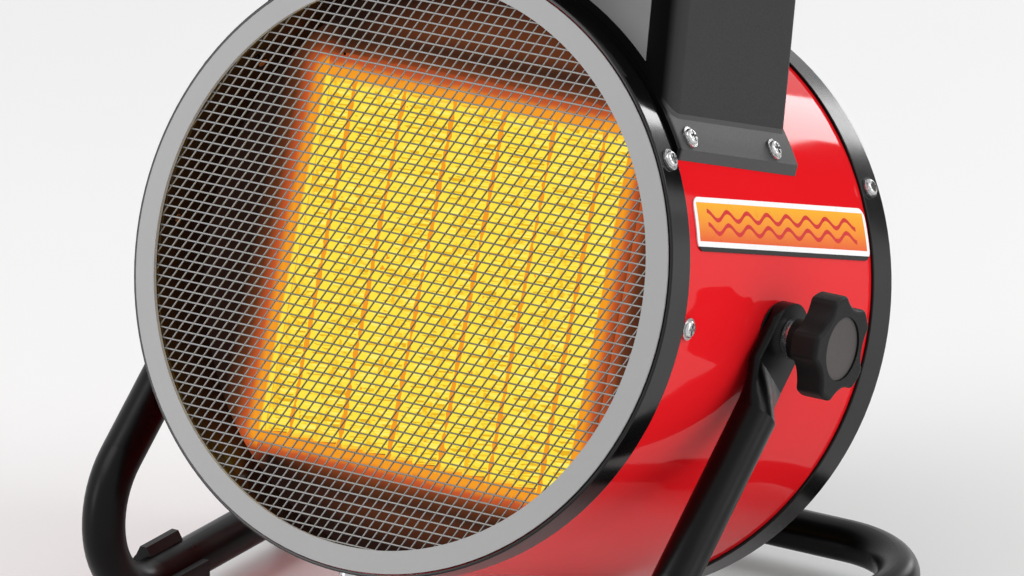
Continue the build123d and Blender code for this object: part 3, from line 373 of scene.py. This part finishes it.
def inner_steel():
    """Dark brown sheet inside the drum."""
    look = Look("inner_dark_sheet")
    tone = look.noise(scale=40.0, detail=4.0)
    look.set(Base_Color=look.mottle(tone, linear(40, 31, 27), linear(58, 47, 41)))
    look.set(Metallic=0.3, Roughness=look.vary(tone, 0.5, 0.75))
    look.dress("mesh_clamp_ring", "motor_bracket", "fan_shroud")


def mesh_steel():
    """Bright wire, with painted shade making it darker and warmer where it is seen against the glowing
    element.
    """
    # Seen from the front right, the wires before the element lie to its right, so the painted shade is
    # shifted there
    glow_shift = 0.020
    shade_inner = 0.060
    shade_outer = 0.076
    look = Look("mesh_wire_steel")
    tone = look.noise(scale=700.0, detail=2.0)
    across = look.absolute(look.across(glow_shift))
    height = look.absolute(look.math("ADD", look.height(), ELEMENT_DROP))
    outside = look.spread(look.math("MAXIMUM", across, height), shade_inner, shade_outer)
    bright = look.mottle(tone, grey(136), grey(154))
    # Painted shade: darker, warmer wire where it stands against the glow
    glow_backlit_shade = look.mottle(tone, linear(100, 94, 76), linear(116, 110, 92))
    look.set(Base_Color=look.blend(outside, glow_backlit_shade, bright), Metallic=0.25)
    look.set(Roughness=look.vary(tone, 0.35, 0.55))
    look.dress("mesh_level_wires", "mesh_slanted_wires")


# The glowing element, and the painted light of its glow on the parts round it
GLOW_YELLOW = linear(253, 229, 70)
GLOW_PALE = linear(255, 240, 110)
GLOW_GOLD = linear(246, 190, 40)
GLOW_AMBER = linear(230, 176, 34)
GLOW_ORANGE = linear(244, 156, 38)
GLOW_RED = linear(196, 88, 44)
GLOW_BROWN = linear(92, 48, 26)
GLOW_EMBER = linear(138, 66, 34)
GLOW_DIM = linear(56, 33, 22)
GLOW_DARK = linear(30, 18, 14)

# Depth behind the element's front at which its colours turn to those of the cooler rear face
REAR_FADE_START = 0.016
REAR_FADE_END = 0.019

# Width of the orange border of the fins and strips
BORDER_WIDTH = 0.002


def beside_element(look, shift=0.0):
    """Distance outside the element's left and right edges, negative between them."""
    return look.math("SUBTRACT", look.absolute(look.across(shift)), ELEMENT_HALF_WIDTH)


def above_element(look):
    """Distance outside the element's upper and lower edges, negative between them."""
    height = look.math("ADD", look.height(), ELEMENT_DROP)
    return look.math("SUBTRACT", look.absolute(height), ELEMENT_HALF_HEIGHT)


def edge_distance(look):
    """Distance outside the element's front rectangle, negative inside it."""
    return look.math("MAXIMUM", beside_element(look), above_element(look))


def strip_line(look):
    """One on the ragged line down the middle of each ceramic strip, otherwise nothing."""
    # Half widths as shares of the strips' pitch
    thinnest = 0.012
    thickest = 0.062
    pitches = look.math("DIVIDE", look.across(), STRIP_PITCH)
    aside = look.math("SUBTRACT", 0.5, look.math("PINGPONG", pitches, 0.5))
    ragged = look.vary(look.noise(scale=240.0, detail=2.0), thinnest, thickest)
    return look.math("LESS_THAN", aside, ragged)


def rear_fade(look, colour):
    """The same colour, dulled on the cooler rear face that the fan blows on."""
    rear = look.spread(look.depth(ELEMENT_FRONT), REAR_FADE_START, REAR_FADE_END)
    return look.blend(rear, colour, GLOW_EMBER)


def fin_colour(look):
    """Yellow-hot fins with amber dashes, orange at the strips and towards the element's border."""
    dash = look.flat_noise(across_scale=260.0, height_scale=900.0)
    hot = look.ramp(dash, [
        (0.38, GLOW_AMBER), (0.46, GLOW_YELLOW), (0.54, GLOW_YELLOW), (0.64, GLOW_PALE)])
    hot = look.blend(strip_line(look), hot, GLOW_ORANGE)
    border = look.spread(edge_distance(look), -BORDER_WIDTH, 0.0)
    return rear_fade(look, look.blend(border, hot, GLOW_ORANGE))


def strip_colour(look):
    """Strips as bright as the fins, with a ragged orange line in front."""
    hot = look.blend(strip_line(look), GLOW_YELLOW, GLOW_ORANGE)
    border = look.spread(edge_distance(look), -BORDER_WIDTH, BORDER_WIDTH)
    return rear_fade(look, look.blend(border, hot, GLOW_ORANGE))


def plate_colour(look):
    """Upright plates: yellow between the fins, the outermost two fading with depth."""
    outermost_start = -0.0004
    outermost_end = -0.0001
    patch = look.noise(scale=260.0, detail=2.0)
    hot = look.ramp(patch, [(0.35, GLOW_GOLD), (0.55, GLOW_YELLOW)])
    depth = look.spread(look.depth(ELEMENT_FRONT), 0.0, REAR_FADE_START)
    side = look.ramp(depth, [
        (0.0, GLOW_ORANGE), (0.25, GLOW_ORANGE), (0.6, GLOW_RED), (1.0, GLOW_BROWN)])
    outermost = look.spread(edge_distance(look), outermost_start, outermost_end)
    return rear_fade(look, look.blend(outermost, hot, side))


def rail_colour(look):
    """Painted light of the element's glow, fading out over a rail from orange through red to dark brown."""
    ripple_height = 0.003
    fade_length = 0.012
    ripple = look.math("SUBTRACT", look.noise(scale=120.0), 0.5)
    ripple = look.math("MULTIPLY", ripple, ripple_height)
    reach = look.spread(look.math("ADD", edge_distance(look), ripple), 0.0, fade_length)
    return look.ramp(reach, [
        (0.0, GLOW_ORANGE), (0.25, GLOW_ORANGE), (0.5, GLOW_RED), (1.0, GLOW_BROWN)])


def baffle_halo(look, beside, above):
    """Painted glow that fades fast on all sides of the element."""
    halo_width = 0.020
    out = look.math("MAXIMUM", beside, 0.0)
    over = look.math("MAXIMUM", above, 0.0)
    reach = look.spread(look.hypotenuse(out, over), 0.0, halo_width)
    return look.ramp(reach, [
        (0.08, GLOW_YELLOW), (0.14, GLOW_ORANGE), (0.26, GLOW_ORANGE), (0.42, GLOW_RED),
        (0.68, GLOW_BROWN), (1.0, GLOW_DARK)])


def baffle_field(look, above):
    """Painted glow in a brown field above and below the element, fading dark towards the drum."""
    field_start = 0.008
    field_end = 0.032
    rim_inner = 0.088
    rim_outer = 0.103
    field = look.ramp(look.spread(above, field_start, field_end), [
        (0.0, GLOW_EMBER), (0.16, GLOW_BROWN), (0.34, GLOW_DIM), (0.55, GLOW_BROWN), (1.0, GLOW_BROWN)])
    return look.blend(look.spread(look.radius(), rim_inner, rim_outer), field, GLOW_DARK)


def baffle_colour(look):
    """Painted light of the element's glow on the baffle: a halo round the element, with a brown field above
    and below it.
    """
    # The glow reaches further out on the left
    glow_shift = -0.006
    field_side_start = -0.004
    field_side_end = 0.010
    halo_end_start = 0.006
    halo_end = 0.009
    beside = beside_element(look, glow_shift)
    above = above_element(look)
    inward = look.spread(beside, field_side_start, field_side_end, 1.0, 0.0)
    past_halo = look.spread(above, halo_end_start, halo_end)
    in_field = look.math("MULTIPLY", inward, past_halo)
    return look.blend(in_field, baffle_halo(look, beside, above), baffle_field(look, above))


def glowing(name, colour_of):
    """Material that shines by itself, with a little rough surface under the glow."""
    look = Look(name)
    look.set(Base_Color=GLOW_DARK, Specular_IOR_Level=0.05)
    look.set(Roughness=look.vary(look.noise(scale=500.0), 0.7, 0.95))
    look.set(Emission_Color=colour_of(look), Emission_Strength=1.0)
    return look


def element_looks():
    glowing("fin_heat_glow", fin_colour).dress("heater_fins")
    glowing("strip_heat_glow", strip_colour).dress("ptc_strips")
    glowing("plate_heat_glow", plate_colour).dress("fin_plates")
    # The rails do not glow themselves: their emission is painted light from the element
    glowing("rail_painted_glow_light", rail_colour).dress("upper_element_rail", "lower_element_rail")
    # The baffle and its screws do not glow themselves: their emission is painted light from the element
    glowing("baffle_painted_glow_light", baffle_colour).dress("baffle_plate", "element_screws")


# Moulded plastic and rubber
def moulded(name, colour, rough, grain, specular=0.4):
    """Moulded plastic with a fine spark-eroded grain."""
    look = Look(name)
    tone = look.noise(scale=30.0)
    fine = look.noise(scale=1600.0, detail=2.0)
    look.set(Base_Color=look.mottle(tone, shade(colour, 0.92), shade(colour, 1.08)))
    look.set(Roughness=look.vary(fine, rough * 0.9, rough * 1.15))
    look.set(Specular_IOR_Level=specular)
    return look.bump(fine, grain)


def plastic_looks():
    moulded("handle_black_plastic", grey(52), rough=0.5, grain=0.00003, specular=0.25).dress("carry_handle")
    moulded("panel_grey_plastic", grey(118), rough=0.45, grain=0.00002, specular=0.25).dress("control_panel")
    moulded("knob_black_plastic", grey(18), rough=0.5, grain=0.00005, specular=0.15).dress(
        "right_star_knob", "left_star_knob")
    moulded("cap_grey_plastic", linear(76, 72, 71), rough=0.5, grain=0.00001, specular=0.2).dress(
        "right_knob_cap", "left_knob_cap")
    moulded("switch_black_plastic", grey(60), rough=0.5, grain=0.00002).dress(
        "thermal_cutout", "thermostat_body", "selector_body", "terminal_block")
    moulded("gland_black_rubber", grey(34), rough=0.6, grain=0.00002, specular=0.3).dress(
        "cable_gland", "gland_nut", "lead_grommet")
    moulded("lead_heat_sleeve", linear(180, 172, 160), rough=0.7, grain=0.00003).dress(
        "element_leads", "motor_leads")
    moulded("foot_black_plastic", grey(12), rough=0.42, grain=0.00003, specular=0.2).dress("stand_feet")
    moulded("spacer_black_nylon", grey(20), rough=0.5, grain=0.00001, specular=0.2).dress("pivot_spacers")


def housing_black():
    """Satin black cover: darker on the flat front round the panel, with painted light making it greyer on the
    upward-facing flanges.
    """
    fade_start = 0.0015
    fade_end = 0.0035
    specular = 0.2
    front_specular = 0.03
    look = moulded("housing_black_plastic", grey(36), rough=0.5, grain=0.00003, specular=specular)
    front = look.spread(look.depth(PANEL_FACE), fade_start, fade_end, 1.0, 0.0)
    # Painted light: the flanges face up to the lamps and are given a lighter grey
    flange_painted_light = look.math("LESS_THAN", look.radius(), FLANGE_TOP_RADIUS)
    body = look.blend(flange_painted_light, look.tone(), grey(68))
    look.set(Base_Color=look.blend(front, body, grey(5)))
    look.set(Specular_IOR_Level=look.spread(front, 0.0, 1.0, specular, front_specular))
    look.dress("control_housing")


def control_knobs():
    """Black knobs whose raised pointer is filled white."""
    look = moulded("control_knob_plastic", grey(34), rough=0.4, grain=0.00002)
    pointer = look.math("LESS_THAN", look.depth(KNOB_FACE), -POINTER_RISE)
    look.set(Base_Color=look.blend(pointer, look.tone(), grey(225)))
    look.dress("thermostat_knob", "selector_knob")


# Label plate
def wave_strokes(look, along, level, half_length):
    """One on two rows of waves along the label, otherwise nothing."""
    swing = look.math("SINE", look.math("MULTIPLY", along, WAVE_RADIANS_PER_METRE))
    wave = look.math("MULTIPLY", swing, WAVE_SWING)
    off_middle = look.absolute(look.math("SUBTRACT", level, wave))
    off_row = look.absolute(look.math("SUBTRACT", off_middle, WAVE_ROW_HEIGHT))
    stroke = look.math("LESS_THAN", off_row, WAVE_HALF_STROKE)
    inside = look.math("LESS_THAN", look.absolute(along), half_length - WAVE_END_MARGIN)
    return look.math("MULTIPLY", stroke, inside)


def label_print():
    """Plain plate: white border, amber above running to orange below, waves and a dark lower edge."""
    look = Look("label_printed_plate")
    out = RIGHT * math.cos(LABEL_ANGLE) + UP * math.sin(LABEL_ANGLE)
    rise = UP * math.cos(LABEL_ANGLE) - RIGHT * math.sin(LABEL_ANGLE)
    middle = AXIS + out * LABEL_RADIUS + BACK * ((LABEL_FRONT + LABEL_REAR) / 2 - AXIS_SETBACK)
    along = look.measure(BACK * math.cos(LABEL_TURN) + rise * math.sin(LABEL_TURN), middle)
    height = look.measure(rise * math.cos(LABEL_TURN) - BACK * math.sin(LABEL_TURN), middle)
    half_length = (LABEL_REAR - LABEL_FRONT) / 2
    half_height = LABEL_HALF_HEIGHT - LABEL_SHADOW / 2
    level = look.math("SUBTRACT", height, LABEL_SHADOW / 2)
    field = look.ramp(look.spread(level, -LABEL_FADE, LABEL_FADE), [
        (0.0, linear(228, 84, 30)), (0.45, linear(240, 142, 32)), (1.0, linear(247, 178, 30))])
    field = look.blend(wave_strokes(look, along, level, half_length), field, linear(206, 34, 36))
    from_end = look.math("SUBTRACT", half_length, look.absolute(along))
    from_side = look.math("SUBTRACT", half_height, look.absolute(level))
    border = look.math("LESS_THAN", look.math("MINIMUM", from_end, from_side), LABEL_BORDER)
    printed = look.blend(border, field, grey(246))
    lower_edge = look.math("LESS_THAN", level, -half_height)
    look.set(Base_Color=look.blend(lower_edge, printed, grey(20)))
    look.set(Roughness=look.vary(look.noise(scale=80.0), 0.25, 0.35), Specular_IOR_Level=0.2)
    look.dress("label_plate")


# Pieces that only the scene makes
def mesh_piece(name, build, material):
    """New mesh object filled by a function that draws into a bmesh."""
    mesh = bpy.data.meshes.new(name)
    shape = bmesh.new()
    build(shape)
    shape.to_mesh(mesh)
    shape.free()
    piece = bpy.data.objects.new(name, mesh)
    bpy.context.scene.collection.objects.link(piece)
    mesh.materials.append(material)
    return piece


def tick_matrix(control_x, step):
    """Place, turn and size of one scale mark, for a cube of size one."""
    turn = TICK_START - TICK_SWEEP * step / (TICK_COUNT - 1)
    length = LONG_TICK_LENGTH if step % LONG_TICK_EVERY == 0 else TICK_LENGTH
    radius = TICK_INNER_RADIUS + length / 2
    x = control_x + math.cos(turn) * radius
    height = CONTROL_HEIGHT + math.sin(turn) * radius
    middle = drum_point(x, PANEL_FACE - TICK_THICKNESS / 2, height)
    outward = RIGHT * math.cos(turn) + UP * math.sin(turn)
    sideways = UP * math.cos(turn) - RIGHT * math.sin(turn)
    basis = Matrix((outward, sideways, BACK)).transposed().to_4x4()
    size = Matrix.Diagonal((length, TICK_WIDTH, TICK_THICKNESS, 1.0))
    return Matrix.Translation(middle) @ basis @ size


def dial_ticks():
    """Printed scale marks round both knobs, raised by the ink."""
    ink = moulded("dial_white_ink", grey(224), rough=0.5, grain=0.00001).material

    def build(shape):
        for control_x in (-CONTROL_X, CONTROL_X):
            for step in range(TICK_COUNT):
                bmesh.ops.create_cube(shape, size=1.0, matrix=tick_matrix(control_x, step))

    piece = mesh_piece("dial_ticks", build, ink)
    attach(piece, "drum")


# Stage, lights and camera
def floor():
    """Pale floor with a soft sheen."""
    look = Look("floor_pale_sweep")
    look.set(Base_Color=look.mottle(look.noise(scale=3.0), grey(243), grey(245)))
    look.set(Roughness=look.vary(look.noise(scale=8.0), 0.3, 0.4), Specular_IOR_Level=0.25)

    def build(shape):
        bmesh.ops.create_grid(shape, x_segments=1, y_segments=1, size=FLOOR_HALF_SIZE)

    piece = mesh_piece("floor", build, look.material)


def face_axis(thing, azimuth, elevation, distance):
    """Sets a lamp or card so that it faces the tilt axis; azimuth runs from the front to the right."""
    turn = math.radians(azimuth)
    lift = math.radians(elevation)
    away = Vector((math.sin(turn) * math.cos(lift), -math.cos(turn) * math.cos(lift), math.sin(lift)))
    thing.location = AXIS + away * distance
    thing.rotation_euler = away.to_track_quat("Z", "Y").to_euler()


def softbox(name, azimuth, elevation, distance, width, height, radiance):
    """Area light that faces the tilt axis, sized in metres and set by its brightness."""
    lamp = bpy.data.lights.new(name, "AREA")
    lamp.shape = "RECTANGLE"
    lamp.size = width
    lamp.size_y = height
    lamp.energy = radiance * math.pi * width * height
    stand = bpy.data.objects.new(name, lamp)
    face_axis(stand, azimuth, elevation, distance)
    stand.visible_camera = False
    bpy.context.scene.collection.objects.link(stand)


def dark_flag(azimuth, elevation, distance, width, height):
    """Black card behind the drum that only its shiny paint mirrors."""
    look = Look("flag_black_card")
    look.set(Base_Color=look.mottle(look.noise(scale=20.0), grey(4), grey(8)))
    look.set(Roughness=0.9, Specular_IOR_Level=0.0)

    def build(shape):
        bmesh.ops.create_grid(shape, x_segments=1, y_segments=1, size=0.5)

    card = mesh_piece("dark_flag", build, look.material)
    face_axis(card, azimuth, elevation, distance)
    card.scale = (width, height, 1.0)
    card.visible_camera = False
    card.visible_diffuse = False
    card.visible_shadow = False


def pale_world():
    """Even light from all round, which the camera and mirrors see as a pale backdrop."""
    world = bpy.data.worlds.new("studio")
    bpy.context.scene.world = world
    world.use_nodes = True
    tree = world.node_tree
    tree.nodes.clear()

    def larger(first, second):
        made = tree.nodes.new("ShaderNodeMath")
        made.operation = "MAXIMUM"
        tree.links.new(first, made.inputs[0])
        tree.links.new(second, made.inputs[1])
        return made.outputs[0]

    def background(colour, strength):
        made = tree.nodes.new("ShaderNodeBackground")
        made.inputs["Color"].default_value = colour
        made.inputs["Strength"].default_value = strength
        return made.outputs["Background"]

    ray = tree.nodes.new("ShaderNodeLightPath").outputs
    mirrored = larger(ray["Is Glossy Ray"], ray["Is Transmission Ray"])
    mix = tree.nodes.new("ShaderNodeMixShader")
    tree.links.new(larger(ray["Is Camera Ray"], mirrored), mix.inputs["Fac"])
    tree.links.new(background(grey(255), WORLD_LIGHT), mix.inputs[1])
    tree.links.new(background(grey(BACKDROP_LEVEL), 1.0), mix.inputs[2])
    output = tree.nodes.new("ShaderNodeOutputWorld")
    tree.links.new(mix.outputs["Shader"], output.inputs["Surface"])


def lamps():
    softbox("key_softbox", azimuth=-35.0, elevation=52.0, distance=2.2,
            width=1.2, height=1.2, radiance=3.5)
    softbox("right_softbox", azimuth=112.0, elevation=38.0, distance=2.0,
            width=1.0, height=1.0, radiance=3.8)
    softbox("low_softbox", azimuth=108.0, elevation=5.0, distance=2.0,
            width=1.2, height=0.7, radiance=2.0)
    softbox("back_strip", azimuth=174.5, elevation=12.0, distance=2.0,
            width=0.46, height=0.5, radiance=6.6)
    softbox("left_strip", azimuth=-36.0, elevation=14.0, distance=1.6,
            width=0.45, height=0.8, radiance=3.6)
    dark_flag(azimuth=162.0, elevation=3.5, distance=1.2, width=0.32, height=0.24)


def camera():
    lens = bpy.data.cameras.new("camera")
    lens.sensor_width = SENSOR_WIDTH
    lens.lens = FOCAL_PIXELS * SENSOR_WIDTH / IMAGE_WIDTH
    lens.clip_end = CAMERA_REACH
    view = bpy.data.objects.new("camera", lens)
    view.location = AXIS + CAMERA_FROM_AXIS
    view.rotation_euler = (math.pi / 2 - CAMERA_ELEVATION, 0.0, CAMERA_AZIMUTH)
    bpy.context.scene.collection.objects.link(view)
    bpy.context.scene.camera = view


drum_red()
bezel_grey()
dark_enamels()
plated_metals()
terminal_brass()
inner_steel()
mesh_steel()
element_looks()
plastic_looks()
housing_black()
control_knobs()
label_print()
dial_ticks()
floor()
pale_world()
lamps()
camera()
bpy.context.scene.view_settings.view_transform = "Standard"
